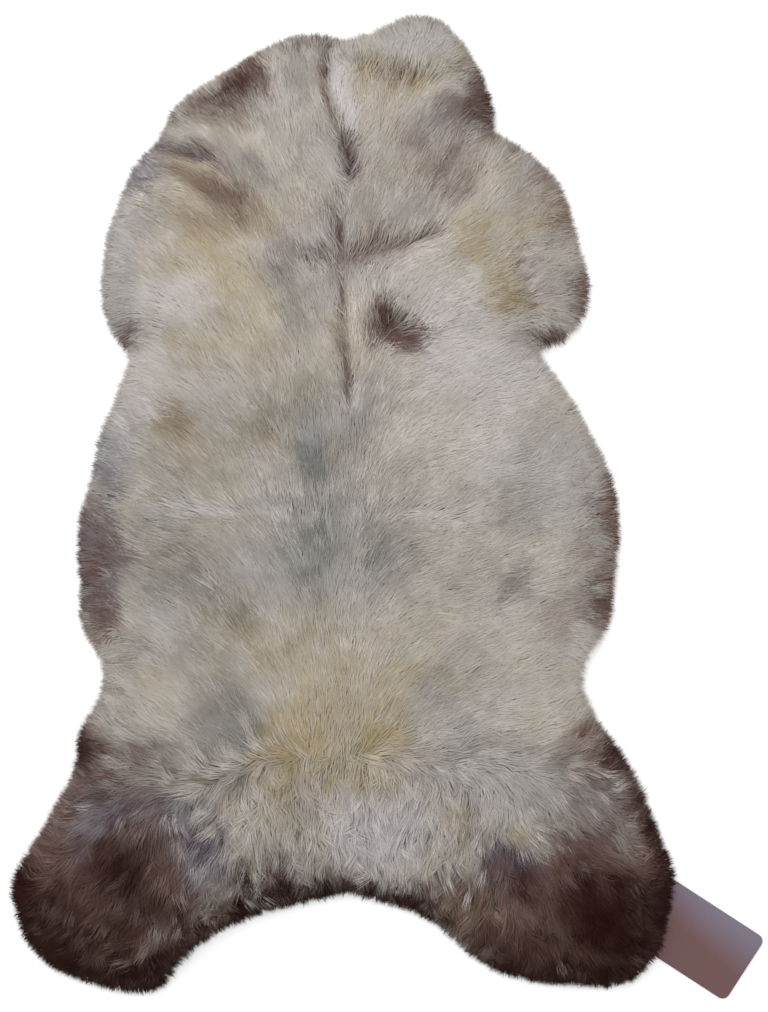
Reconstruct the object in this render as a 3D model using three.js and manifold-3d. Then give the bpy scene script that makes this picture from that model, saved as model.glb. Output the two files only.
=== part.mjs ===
// A whole sheepskin laid flat, wool side up, with a plain leather label under one hind leg.
// Millimetres, +Z up. Seen from above, +Y points to the neck and +X to the right.
import * as THREE from "three";
import { mergeVertices } from "three/addons/utils/BufferGeometryUtils.js";
import Module from "manifold-3d";

const wasm = await Module();
wasm.setup();

// The wool stands PILE_HEIGHT off the floor. Round the rim, the hide and then the thick wool stop
// short of the tips of the wool.
const PILE_HEIGHT = 46;
const HIDE_INSET = 38;
const WOOL_INSET = 10;
const SEGMENTS = 144;

// The locks that hang out of the rim and lie down on the floor. Each ends a little short of the
// line of the wool or a little past it.
const LOCK_COUNT = 150;
const LOCK_SIDES = 4;
const LOCK_STEPS = 2;
const LOCK_LENGTH = 44;
const LOCK_SHORT = 2;
const LOCK_PAST = 5;
const LOCK_NARROW = 20;
const LOCK_WIDE = 28;
const LOCK_THICKNESS = 12;
const LOCK_RISE = 10;
const LOCK_TAPER = 0.5;
const LOCK_LEVEL_FROM = 0.5;
const LOCK_LEAN = 0.22;

// The label, and the room that its neighbours leave round it.
const LABEL = {
  width: 80,
  length: 150,
  thickness: 2.5,
  corner: 8,
  endX: 429,
  endY: -501,
  heading: -33,
};
const GAP = 0.4;
const LIFT_REACH = 14;

const table = (names, rows) =>
  rows.map((row) => Object.fromEntries(names.split(" ").map((name, column) => [name, row[column]])));

// One row for each rib of the skin, from the tail up to the neck. A rib starts on the back line, or
// out along the middle of a hind leg, and its wool ends at the left and the right place.
const RIBS = table("out spine leftX leftY rightX rightY", [
  [0, -225, 0, -417, 0, -417],
  [0, -190, -112, -447, 102, -452],
  [75, -245, -168, -484, 150, -492],
  [130, -295, -195, -518, 219, -516],
  [170, -335, -225, -525, 278, -519],
  [198, -362, -273, -513, 316, -505],
  [215, -380, -321, -487, 340, -478],
  [228, -392, -348, -441, 347, -441],
  [215, -380, -356, -406, 354, -400],
  [198, -362, -337, -375, 341, -363],
  [170, -335, -307, -320, 319, -301],
  [130, -295, -287, -275, 289, -254],
  [75, -245, -286, -250, 269, -224],
  [0, -190, -263, -208, 254, -190],
  [0, -136, -260, -170, 264, -159],
  [0, -109, -277, -139, 284, -129],
  [0, -66, -285, -77, 290, -77],
  [0, -18, -285, -24, 294, -24],
  [0, 30, -272, 25, 286, 29],
  [0, 78, -261, 80, 260, 78],
  [0, 126, -239, 134, 232, 123],
  [0, 165, -232, 162, 216, 149],
  [0, 192, -251, 184, 210, 167],
  [0, 213, -262, 217, 234, 173],
  [0, 234, -260, 249, 255, 197],
  [0, 258, -256, 287, 263, 230],
  [0, 284, -243, 321, 251, 273],
  [0, 308, -223, 362, 239, 322],
  [0, 322, -200, 388, 216, 360],
  [0, 331, -185, 423, 186, 382],
  [0, 337, -152, 448, 161, 394],
  [0, 343, -112, 473, 156, 431],
  [0, 348, -78, 491, 136, 478],
  [0, 353, -48, 500, 111, 513],
  [0, 357, -29, 500, 78, 523],
  [0, 361, -13, 496, 41, 508],
  [0, 365, 2, 494, 2, 494],
]);

// The section of the skin along a rib, from the underside round the rim and back over the wool:
// a share of the rib's length, how far short of that the row stops, and its height.
const SECTION = table("share short height", [
  [0, 0, 0],
  [1, HIDE_INSET, 0],
  [1, HIDE_INSET - 4, 3.5],
  [1, WOOL_INSET + 5, 7],
  [1, WOOL_INSET, 15],
  [1, WOOL_INSET + 5, 25],
  [1, WOOL_INSET + 18, 34],
  [1, WOOL_INSET + 40, 41],
  [0.86, 45, 44],
  [0.75, 38, 45],
  [0.62, 26, PILE_HEIGHT],
  [0.5, 16, PILE_HEIGHT],
  [0.38, 8, PILE_HEIGHT],
  [0.27, 3, PILE_HEIGHT],
  [0.17, 0, PILE_HEIGHT],
  [0.08, 0, PILE_HEIGHT],
  [0, 0, PILE_HEIGHT],
]);
const FIRST_LUMPY_ROW = 4;

// Soft swells over the wool: the distance from crest to crest, their direction and their height.
const SWELLS = table("length heading height start", [
  [118, 20, 2.2, 0.4],
  [86, 75, 1.8, 2.1],
  [64, 132, 1.6, 1.2],
  [53, 48, 1.1, 4.0],
]);

// Where the wool parts, folds or has been pressed in.
const CREASES = table("fromX fromY toX toY width depth", [
  [-13, 480, -8, 400, 14, 8],
  [-8, 400, 5, 350, 16, 10],
  [5, 350, -6, 275, 14, 8],
  [-6, 275, 3, 95, 12, 7],
  [-42, 262, 88, 287, 14, 8],
  [-190, -10, 125, -12, 18, 4],
  [172, 262, 200, 178, 18, 9],
  [166, 386, 92, 398, 18, 8],
  [-208, 376, -120, 345, 18, 7],
  [-262, -322, -205, -300, 20, 6],
  [-112, -410, -78, -385, 18, 6],
]);

const UP = new THREE.Vector3(0, 0, 1);
const flat = (x, y) => new THREE.Vector3(x, y, 0);
const bearing = (degrees) => flat(1, 0).applyAxisAngle(UP, THREE.MathUtils.degToRad(degrees));

// Where the wool ends on one side, as a smooth line through the rows of the table.
function woolEdge(sideX, sideY) {
  const ends = RIBS.map((row) => flat(row[sideX], row[sideY]));
  return new THREE.CatmullRomCurve3(ends, false, "catmullrom", 0.5);
}
const rightEdge = woolEdge("rightX", "rightY");
const leftEdge = woolEdge("leftX", "leftY");

// The rib at a step round the skin: up the right side to the neck and down the left side.
// Both sides of the back line, and of a leg's middle, start at the same places.
function ribAt(step) {
  const half = SEGMENTS / 2;
  const onRight = step <= half;
  const share = onRight ? step / half : (SEGMENTS - step) / half;
  const row = Math.min(Math.floor(share * (RIBS.length - 1)), RIBS.length - 2);
  const between = share * (RIBS.length - 1) - row;
  const side = onRight ? 1 : -1;
  const root = flat(side * RIBS[row].out, RIBS[row].spine).lerp(
    flat(side * RIBS[row + 1].out, RIBS[row + 1].spine),
    between,
  );
  const run = (onRight ? rightEdge : leftEdge).getPoint(share).sub(root);
  return { root, length: run.length(), direction: run.normalize() };
}

// How deep the wool is parted or pressed in at a place.
function creaseDepth(place) {
  return Math.max(
    ...CREASES.map(({ fromX, fromY, toX, toY, width, depth }) => {
      const near = new THREE.Line3(flat(fromX, fromY), flat(toX, toY));
      const away = near.closestPointToPoint(place, true, new THREE.Vector3()).distanceTo(place);
      return depth * Math.exp(-((away / width) ** 2));
    }),
  );
}

// How far the top of the wool stands over or under its usual height.
function lumps(place) {
  const swell = SWELLS.reduce((sum, { length, heading, height, start }) => {
    return sum + height * Math.sin((2 * Math.PI * bearing(heading).dot(place)) / length + start);
  }, 0);
  return swell - creaseDepth(place);
}

// The label's own axes: along runs from its sewn end to its free end.
const labelAlong = bearing(LABEL.heading);
const labelAcross = flat(-labelAlong.y, labelAlong.x);
const labelEnd = flat(LABEL.endX, LABEL.endY);

// How far the wool is lifted where it lies on the label: all of it over the label, none past it.
function labelLift(place) {
  const from = flat(place.x, place.y).sub(labelEnd);
  const pastSide = Math.abs(from.dot(labelAcross)) - LABEL.width / 2;
  const pastSewnEnd = -from.dot(labelAlong) - LABEL.length;
  const past = Math.max(pastSide, pastSewnEnd);
  return (LABEL.thickness + 2 * GAP) * (1 - THREE.MathUtils.smoothstep(past, LIFT_REACH, 2 * LIFT_REACH));
}

function solidOf(geometry) {
  const bare = geometry.clone();
  bare.deleteAttribute("normal");
  bare.deleteAttribute("uv");
  const merged = mergeVertices(bare);
  return new wasm.Manifold(
    new wasm.Mesh({
      numProp: 3,
      vertProperties: merged.attributes.position.array,
      triVerts: new Uint32Array(merged.index.array),
    }),
  );
}

function geometryOf(solid) {
  const { vertProperties, triVerts } = solid.getMesh();
  const geometry = new THREE.BufferGeometry();
  geometry.setAttribute("position", new THREE.BufferAttribute(vertProperties, 3));
  geometry.setIndex(new THREE.BufferAttribute(triVerts, 1));
  geometry.computeVertexNormals();
  return geometry;
}

// The hide with its thick wool: a turned ring whose spokes are carried out along the ribs.
function slab() {
  const profile = SECTION.map((row, index) => new THREE.Vector2(index, row.height));
  const geometry = new THREE.LatheGeometry(profile, SEGMENTS);
  const points = geometry.attributes.position;
  for (let step = 0; step <= SEGMENTS; step++) {
    const rib = ribAt(step);
    SECTION.forEach(({ share, short, height }, row) => {
      const place = rib.root.clone().addScaledVector(rib.direction, share * rib.length - short);
      const top = row >= FIRST_LUMPY_ROW ? (lumps(place) * height) / PILE_HEIGHT : 0;
      const lift = height > 0 ? labelLift(place) : 0;
      points.setXYZ(step * SECTION.length + row, place.x, place.y, height + top + lift);
    });
  }
  return solidOf(geometry);
}

// One lock: a four-sided cone laid out over the rim, its outer end level on what it lies on.
function lock(tip, outward, length, width) {
  const geometry = new THREE.ConeGeometry(1, 1, LOCK_SIDES, LOCK_STEPS, false, Math.PI / LOCK_SIDES);
  const points = geometry.attributes.position;
  const sideways = flat(outward.y, -outward.x);
  for (let index = 0; index < points.count; index++) {
    const share = points.getY(index) + 0.5;
    const full = (1 - share) ** LOCK_TAPER;
    const place = tip.clone().addScaledVector(outward, (share - 1) * length);
    place.addScaledVector(sideways, (Math.sign(points.getX(index)) * full * width) / 2);
    const under = LOCK_RISE * Math.max(0, 1 - share / LOCK_LEVEL_FROM) ** 2;
    const upper = (1 + Math.sign(points.getZ(index))) / 2;
    const height = under + labelLift(place) + upper * full * LOCK_THICKNESS;
    points.setXYZ(index, place.x, place.y, height);
  }
  return solidOf(geometry);
}

// The outline of the wool, and the locks spaced evenly along it.
function locks() {
  const rightSide = RIBS.map((row) => flat(row.rightX, row.rightY));
  const leftSide = RIBS.slice(1, -1).map((row) => flat(row.leftX, row.leftY));
  const outline = new THREE.CatmullRomCurve3([...rightSide, ...leftSide.reverse()], true, "catmullrom", 0.5);
  return Array.from({ length: LOCK_COUNT }, (_, number) => {
    const around = number / LOCK_COUNT;
    const chance = THREE.MathUtils.seededRandom(number + 1);
    const leanChance = THREE.MathUtils.seededRandom();
    const edge = outline.getTangentAt(around);
    const outward = flat(edge.y, -edge.x).applyAxisAngle(UP, LOCK_LEAN * (2 * leanChance - 1));
    const past = THREE.MathUtils.lerp(-LOCK_SHORT, LOCK_PAST, chance);
    const tip = outline.getPointAt(around).addScaledVector(outward, past);
    const width = THREE.MathUtils.lerp(LOCK_NARROW, LOCK_WIDE, leanChance);
    return lock(tip, outward, LOCK_LENGTH + past, width);
  });
}

// The label, a rectangle with round corners, or the same grown on all sides to cut its pocket.
function labelGeometry(grow, thickness) {
  const halfWidth = LABEL.width / 2 + grow;
  const corner = LABEL.corner;
  const start = -LABEL.length - grow;
  const end = grow;
  const shape = new THREE.Shape();
  shape.absarc(end - corner, halfWidth - corner, corner, 0, Math.PI / 2);
  shape.absarc(start + corner, halfWidth - corner, corner, Math.PI / 2, Math.PI);
  shape.absarc(start + corner, corner - halfWidth, corner, Math.PI, 1.5 * Math.PI);
  shape.absarc(end - corner, corner - halfWidth, corner, 1.5 * Math.PI, 2 * Math.PI);
  const geometry = new THREE.ExtrudeGeometry(shape, {
    depth: thickness,
    bevelEnabled: false,
    curveSegments: 6,
  });
  geometry.rotateZ(THREE.MathUtils.degToRad(LABEL.heading));
  geometry.translate(LABEL.endX, LABEL.endY, 0);
  return geometry;
}

// The whole skin: the slab with its locks, less the pocket that the label is sewn into.
function pelt() {
  const woolly = locks().reduce((whole, next) => whole.add(next), slab());
  const pocket = labelGeometry(GAP, 2 * (LABEL.thickness + GAP)).translate(0, 0, -LABEL.thickness - GAP);
  return new THREE.Mesh(
    geometryOf(woolly.subtract(solidOf(pocket))),
    new THREE.MeshStandardMaterial({ color: 0xb9ae9f, roughness: 0.95, metalness: 0 }),
  );
}

function label() {
  return new THREE.Mesh(
    geometryOf(solidOf(labelGeometry(0, LABEL.thickness))),
    new THREE.MeshStandardMaterial({ color: 0x9a807d, roughness: 0.6, metalness: 0 }),
  );
}

const rug = new THREE.Group();
const peltMesh = pelt();
peltMesh.name = "pelt";
const labelMesh = label();
labelMesh.name = "label";
rug.add(peltMesh, labelMesh);

// The origin is the middle of the rug's box, on the floor.
const middle = new THREE.Box3().setFromObject(rug, true).getCenter(new THREE.Vector3());
rug.position.set(-middle.x, -middle.y, 0);

export default rug;
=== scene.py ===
"""A sheepskin rug that lies flat on a pale floor, wool side up, with a leather label at one hind leg.

Lengths are in metres in Blender's objects, and in millimetres in the arrays that lay out the wool.
"""

import math

import bmesh
import bpy
import numpy as np
from mathutils import Matrix, Vector
from mathutils.bvhtree import BVHTree
from mathutils.kdtree import KDTree


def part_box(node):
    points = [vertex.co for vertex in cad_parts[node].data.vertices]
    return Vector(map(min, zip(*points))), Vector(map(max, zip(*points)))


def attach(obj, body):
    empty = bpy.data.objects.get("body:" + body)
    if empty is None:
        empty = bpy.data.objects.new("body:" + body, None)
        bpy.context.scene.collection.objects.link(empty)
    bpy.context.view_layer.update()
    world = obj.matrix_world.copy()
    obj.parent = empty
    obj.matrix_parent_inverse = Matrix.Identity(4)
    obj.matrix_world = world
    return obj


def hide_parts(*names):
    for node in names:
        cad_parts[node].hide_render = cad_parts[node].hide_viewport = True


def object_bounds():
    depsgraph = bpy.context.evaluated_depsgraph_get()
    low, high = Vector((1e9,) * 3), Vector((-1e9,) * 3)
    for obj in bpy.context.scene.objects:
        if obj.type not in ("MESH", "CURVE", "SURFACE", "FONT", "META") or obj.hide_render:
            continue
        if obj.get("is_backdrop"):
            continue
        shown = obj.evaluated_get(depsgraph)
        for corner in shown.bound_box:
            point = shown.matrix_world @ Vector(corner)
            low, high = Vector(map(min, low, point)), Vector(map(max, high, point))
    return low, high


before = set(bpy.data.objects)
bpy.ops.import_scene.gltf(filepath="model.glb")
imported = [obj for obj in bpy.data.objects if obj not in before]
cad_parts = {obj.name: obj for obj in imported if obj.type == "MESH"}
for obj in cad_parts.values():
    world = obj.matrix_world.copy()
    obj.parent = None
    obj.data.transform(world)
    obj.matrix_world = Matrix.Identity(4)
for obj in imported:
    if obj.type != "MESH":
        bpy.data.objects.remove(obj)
cad_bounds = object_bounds()

# The pelt's form
# One tanned sheepskin with its wool left on. The hide lies flat, and the wool over it swells in
# soft lumps, opens in a few partings, and falls to the floor round the rim.

STEP = 3.0  # mm between the places where the form is read
LEFT, NEAR = -456.0, -576.0  # mm, the corner where the reading starts

# The camera's view is 768 steps wide and 1012 long, counted from its upper left corner. One place in
# it is matched to the place in mm that it shows.
SCALE = 1.07  # mm to a step
IN_VIEW, ON_FLOOR = (345, 503), (-45.95, 3.46)


def at(across, down):
    """The place in mm that lies so many steps across and down the view."""
    x = (across - IN_VIEW[0]) * SCALE + ON_FLOOR[0]
    y = (IN_VIEW[1] - down) * SCALE + ON_FLOOR[1]
    return np.array([x, y])


def soften(values, reach):
    """Blurs a grid of values over reach, in mm."""
    cells = np.arange(-math.ceil(3 * reach / STEP), math.ceil(3 * reach / STEP) + 1)
    share = np.exp(-0.5 * (cells * STEP / reach) ** 2)
    share /= share.sum()
    for axis in (0, 1):
        edge = [(0, 0), (0, 0)]
        edge[axis] = (len(cells) // 2, len(cells) // 2)
        wide = np.pad(values, edge, mode="edge")
        size = values.shape[axis]
        values = sum(s * wide.take(range(k, k + size), axis) for k, s in enumerate(share))
    return values


def between(grid, i, j, u, v):
    """What a grid holds at u and v of the way from its point i, j to the next ones."""
    low = grid[j, i] * (1 - u) + grid[j, i + 1] * u
    return low * (1 - v) + (grid[j + 1, i] * (1 - u) + grid[j + 1, i + 1] * u) * v


class Field:
    """An amount at every place of the rug, read between the points of a grid."""

    def __init__(self, values):
        self.values = values

    def __call__(self, place):
        high = np.array(self.values.shape[::-1]) - 1.001
        cell = np.clip((place - (LEFT, NEAR)) / STEP, 0, high)
        whole = cell.astype(int)
        part = cell - whole
        return between(self.values, whole[..., 0], whole[..., 1], part[..., 0], part[..., 1])


def fade(value, start, end):
    """0 at start, 1 at end, with a soft run between them."""
    t = np.clip((value - start) / (end - start), 0, 1)
    return t * t * (3 - 2 * t)


def lumps(place, size, seed):
    """Soft random lumps from -1 to 1, of about size mm."""
    lattice = np.random.default_rng(seed).uniform(-1, 1, (128, 128))
    cell = place / size + 60
    whole = np.floor(cell).astype(int)
    part = cell - whole
    part = part * part * (3 - 2 * part)
    return between(lattice, whole[..., 0] % 127, whole[..., 1] % 127, part[..., 0], part[..., 1])


across = np.arange(LEFT, -LEFT + 1, STEP)
along = np.arange(NEAR, -NEAR + 1, STEP)
spots = np.stack(np.meshgrid(across, along), axis=-1)
plan = spots.shape[:2]

# The heights of the pelt's upper side and underside, read straight down and straight up.
OPEN = 20.0  # mm, the underside's reading at a place with no wool over it
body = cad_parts["pelt"]
pelt = BVHTree.FromPolygons([v.co for v in body.data.vertices], [p.vertices for p in body.data.polygons])
top, under = np.zeros(plan), np.full(plan, OPEN)
for j, y in enumerate(along):
    for i, x in enumerate(across):
        hit = pelt.ray_cast(Vector((x / 1000, y / 1000, 0.2)), Vector((0, 0, -1)))[0]
        if hit is not None:
            top[j, i] = hit.z * 1000
            low = pelt.ray_cast(Vector((x / 1000, y / 1000, -0.1)), Vector((0, 0, 1)))[0]
            under[j, i] = low.z * 1000

# How far inside the wool's outline a place is, found from where the body's side stands.
SIDE_HIGH, SIDE_IN = 13, 10  # mm, the least height that is body, and how far inside the tips it is
solid = soften((top > SIDE_HIGH).astype(float), 3.5)
rim = KDTree(2 * solid.size)
for up, right in ((0, 1), (1, 0)):
    here, there = solid[: -up or None, : -right or None], solid[up:, right:]
    for j, i in zip(*np.nonzero((here > 0.5) != (there > 0.5))):
        past = (0.5 - here[j, i]) / (there[j, i] - here[j, i]) * STEP
        rim.insert(Vector((across[i] + right * past, along[j] + up * past, 0)), 0)
rim.balance()
apart = np.array([rim.find(Vector((x, y, 0)))[2] for y in along for x in across]).reshape(plan)
inside = soften(np.where(solid > 0.5, apart, -apart), 2.5) + SIDE_IN

# Where the wool hangs out past the hide further or less far than elsewhere: the place and the half
# width of that stretch, in steps of the view, and by how much, in mm.
REACHES = [
    (315, 36, 40, 3.5),
    (380, 29, 16, -1.5),
    (494, 98, 24, 3.8),
    (529, 153, 24, -3.0),
    (545, 350, 20, -7.0),
    (574, 334, 14, -3.0),
    (574, 398, 26, 3.4),
    (590, 700, 20, -2.8),
    (598, 726, 14, -5.0),
    (636, 775, 50, -2.8),
    (655, 822, 24, -2.0),
    (622, 988, 24, 4.0),
    (580, 986, 20, -6.5),
    (499, 973, 20, 3.0),
    (411, 912, 18, -7.0),
    (438, 930, 16, -4.0),
    (380, 903, 18, -2.5),
    (340, 899, 22, 2.4),
    (262, 915, 20, -2.6),
    (220, 934, 20, -4.5),
    (184, 960, 24, -11.5),
    (99, 988, 24, 2.6),
    (59, 974, 26, 5.0),
    (25, 941, 28, 8.5),
    (12, 898, 24, 3.2),
    (24, 855, 24, 2.0),
    (47, 815, 20, 2.2),
    (74, 744, 16, 3.4),
    (80, 620, 22, 6.5),
    (78, 515, 16, 3.4),
    (88, 460, 18, 1.8),
    (114, 405, 26, -2.2),
    (138, 162, 30, 2.6),
]
for x, y, half, most in REACHES:
    gap = np.hypot(*np.moveaxis(spots - at(x, y), -1, 0)) / (half * SCALE)
    inside += most * np.exp(-(gap**2))
depth = Field(inside)
slope = np.gradient(soften(inside, 9), STEP)
long = np.hypot(*slope) + 1e-6
outward_x, outward_y = Field(-slope[1] / long), Field(-slope[0] / long)

# The partings, where the wool falls away to both sides and the dark roots show: places along each
# one, in steps across and down the view, then its depth and half width in mm.
PARTINGS = [
    ([(331, 44), (325, 83), (333, 112), (345, 140)], 5, 5),
    ([(347, 142), (351, 160), (350, 182)], 8, 7),
    ([(350, 182), (341, 215), (340, 255), (344, 300), (347, 398)], 5, 5),
    ([(338, 253), (366, 250), (400, 245), (432, 237)], 6, 6),
    ([(304, 260), (322, 259), (338, 256)], 4, 4),
    ([(504, 250), (512, 280), (525, 319)], 5, 4),
    ([(362, 64), (395, 72), (428, 88), (456, 76)], 6, 6),
    ([(168, 148), (205, 160), (236, 180)], 5, 5),
    ([(390, 324), (404, 332)], 8, 14),
    ([(170, 512), (240, 508), (320, 506)], 5, 6),
    ([(370, 512), (420, 508), (458, 514)], 4, 6),
]
# how deep each place is opened, how near it is to a parting, and the way that its wool falls from them
opened, close, away = np.zeros(plan), np.full(plan, 99.0), np.zeros(spots.shape)
for places, deep, wide in PARTINGS:
    points = [at(*p) for p in places]
    nearest, toward = np.full(plan, 1e9), np.zeros(spots.shape)
    for a, b in zip(points, points[1:]):
        share = np.clip(((spots - a) @ (b - a)) / ((b - a) @ (b - a)), 0, 1)
        offset = spots - (a + share[..., None] * (b - a))
        gap = np.hypot(offset[..., 0], offset[..., 1])
        closer = gap < nearest
        nearest, toward = np.where(closer, gap, nearest), np.where(closer[..., None], offset, toward)
    opened = np.maximum(opened, deep * np.exp(-((nearest / wide) ** 2)))
    close = np.minimum(close, nearest)
    away += toward / (nearest[..., None] + 2) * (deep / 9 * np.exp(-nearest / (2.5 * wide)))[..., None]
away *= fade(inside, 12, 50)[..., None]
away_x, away_y = Field(soften(away[..., 0], 4)), Field(soften(away[..., 1], 4))
beside = Field(close)

# The wool's upper side: the pelt's own inside the rim, and a fall to the floor outside it, given by
# how far inside the outline a place is and how high the wool is there, in mm.
FALL = [(-14, 0.6), (-8, 1), (-3, 2.4), (0, 5), (4, 9.5), (8, 13.5), (12, 17), (16, 21.5), (22, 28)]
fall = np.interp(inside, *zip(*FALL))
high = soften(np.where(inside > 18, top, fall), 6)
high = np.minimum(high, np.where(inside > 24, 99, fall + 2))
high += fade(inside, 8, 60) * (1.6 * lumps(spots, 34, 5) + 1.2 * lumps(spots, 17, 6)) - opened
height = Field(np.maximum(high, 0.6))
tilt = np.gradient(soften(high, 7), STEP)
tilt_x, tilt_y = Field(-tilt[1]), Field(-tilt[0])
below = Field(soften(np.where(under < OPEN, under, 18), 3))

# The hide
# Tanned skin about 2 mm thick, cut round the four legs, the neck and the rump. It lies flat on the
# floor, and the wool grows from its upper side and hangs past its edge all round.

HIDE_IN, HIDE_THICK = 37, 2.0  # mm, from the wool's tips in to the hide's edge, and the skin's thickness


class Wire:
    """An output in a material's nodes that takes part in sums as a number does."""

    def __init__(self, tree, socket):
        self.tree, self.socket = tree, socket

    def sum(self, operation, first, second):
        return node(self.tree, "ShaderNodeMath", {"operation": operation}, {0: first, 1: second})

    def __add__(self, other):
        return self.sum("ADD", self, other)

    def __sub__(self, other):
        return self.sum("SUBTRACT", self, other)

    def __mul__(self, other):
        return self.sum("MULTIPLY", self, other)

    def __rsub__(self, other):
        return self.sum("SUBTRACT", other, self)

    __radd__, __rmul__ = __add__, __mul__


def node(tree, kind, settings, values, output=0):
    """Adds a node, its settings first and then its inputs' values or wires, and returns an output."""
    made = tree.nodes.new(kind)
    for name, setting in settings.items():
        setattr(made, name, setting)
    for place, value in values.items():
        if isinstance(value, Wire):
            tree.links.new(value.socket, made.inputs[place])
        else:
            made.inputs[place].default_value = value
    return Wire(tree, made.outputs[output])


def mixed(tree, share, first, second, blend="MIX"):
    """A colour from two, with the second laid over the first by share."""
    first, second = (c if isinstance(c, Wire) else (*c, 1.0) for c in (first, second))
    settings = {"data_type": "RGBA", "blend_type": blend}
    return node(tree, "ShaderNodeMix", settings, {0: share, 6: first, 7: second}, 2)


def node_parts(tree, vector):
    """The three numbers of a vector."""
    first = node(tree, "ShaderNodeSeparateXYZ", {}, {0: vector})
    return [Wire(tree, part) for part in first.socket.node.outputs]


def material(name, roughness):
    """A new material, its node tree and the inputs of its Principled surface."""
    made = bpy.data.materials.new(name)
    made.use_nodes = True
    surface = made.node_tree.nodes["Principled BSDF"].inputs
    surface["Roughness"].default_value = roughness
    return made, made.node_tree, surface


def placed(name, data):
    """A new object in the scene, for a mesh, a light or a camera."""
    thing = bpy.data.objects.new(name, data)
    bpy.context.scene.collection.objects.link(thing)
    return thing


def finished(name, made):
    """A new object in the scene from a bmesh."""
    mesh = bpy.data.meshes.new(name)
    made.to_mesh(mesh)
    made.free()
    return placed(name, mesh)


def trimmed(name, inset, cell, lower, upper):
    """A closed piece over all that lies further than inset inside the outline, in cells of cell mm.

    Its edge is drawn onto that line. lower and upper give the heights of its two sides at a place.
    """
    xs, ys = np.arange(LEFT, -LEFT, cell), np.arange(NEAR, -NEAR, cell)
    places = np.stack(np.meshgrid(xs, ys), axis=-1)
    # full are the cells that are kept, used their corners, and edge the outermost of those
    kept = depth(places) > inset - 0.35 * cell
    full = kept[:-1, :-1] & kept[1:, :-1] & kept[:-1, 1:] & kept[1:, 1:]
    used, whole = np.zeros(kept.shape, bool), np.ones(kept.shape, bool)
    for j, i in ((0, 0), (0, 1), (1, 0), (1, 1)):
        window = (slice(j, j + full.shape[0]), slice(i, i + full.shape[1]))
        used[window] |= full
        whole[window] &= full
    edge = used & ~whole
    for _ in range(3):
        direction = np.stack([outward_x(places), outward_y(places)], axis=-1)
        shift = (depth(places) - inset)[..., None] * direction
        places = np.where(edge[..., None], places + np.clip(shift, -0.7 * cell, 0.7 * cell), places)
    number = np.full(kept.shape, -1)
    number[used] = np.arange(used.sum())
    flat = places[used]
    made = bmesh.new()
    bottom, cover = (
        [made.verts.new((x / 1000, y / 1000, z / 1000)) for (x, y), z in zip(flat, side(flat))]
        for side in (lower, upper)
    )
    for j, i in zip(*np.nonzero(full)):
        ring = [number[j, i], number[j, i + 1], number[j + 1, i + 1], number[j + 1, i]]
        made.faces.new([cover[k] for k in ring])
        made.faces.new([bottom[k] for k in reversed(ring)])
    # the wall between the two sides
    bmesh.ops.bridge_loops(made, edges=[e for e in made.edges if e.is_boundary])
    bmesh.ops.recalc_face_normals(made, faces=made.faces)
    for face in made.faces:
        face.smooth = True
    piece = finished(name, made)
    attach(piece, "root")
    return piece


def hide_low(place):
    """The skin's underside, which lies on the floor but for soft lifts of a few mm."""
    return np.clip(below(place), 0, 6)


def hide_high(place):
    """The skin's upper side."""
    return hide_low(place) + HIDE_THICK


hide = trimmed("hide", HIDE_IN, 9, hide_low, hide_high)
TAN, PALE_TAN, DARK_NAP = (0.50, 0.40, 0.29), (0.64, 0.55, 0.43), (0.42, 0.33, 0.24)
suede, tree, surface = material("suede", 0.85)
place = node(tree, "ShaderNodeTexCoord", {}, {}, "Object")
nap = node(tree, "ShaderNodeTexNoise", {}, {"Vector": place, "Scale": 90.0, "Detail": 4.0})
blotch = node(tree, "ShaderNodeTexNoise", {}, {"Vector": place, "Scale": 7.0, "Detail": 3.0})
tone = mixed(tree, nap * 0.4, mixed(tree, blotch, TAN, PALE_TAN), DARK_NAP)
tree.links.new(tone.socket, surface["Base Color"])
hide.data.materials.append(suede)

# The wool's colours
# Undyed wool of a natural mixed fleece: cream over most of the back, with ash grey, straw and pale
# lilac clouds in it, brown spots at the neck and the rim, and chocolate hind legs. Some dark clouds
# along the creases are partly painted shade.

CREAM = (0.56, 0.515, 0.462)
TINTS = {
    "straw": (0.455, 0.365, 0.205),
    "ash": (0.182, 0.180, 0.168),
    "lilac": (0.61, 0.575, 0.570),
    "slate": (0.118, 0.110, 0.152),
    "umber": (0.140, 0.081, 0.067),
    "chocolate": (0.029, 0.0102, 0.0079),
}
KINDS = list(TINTS)  # each is laid over the ones before it

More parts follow.
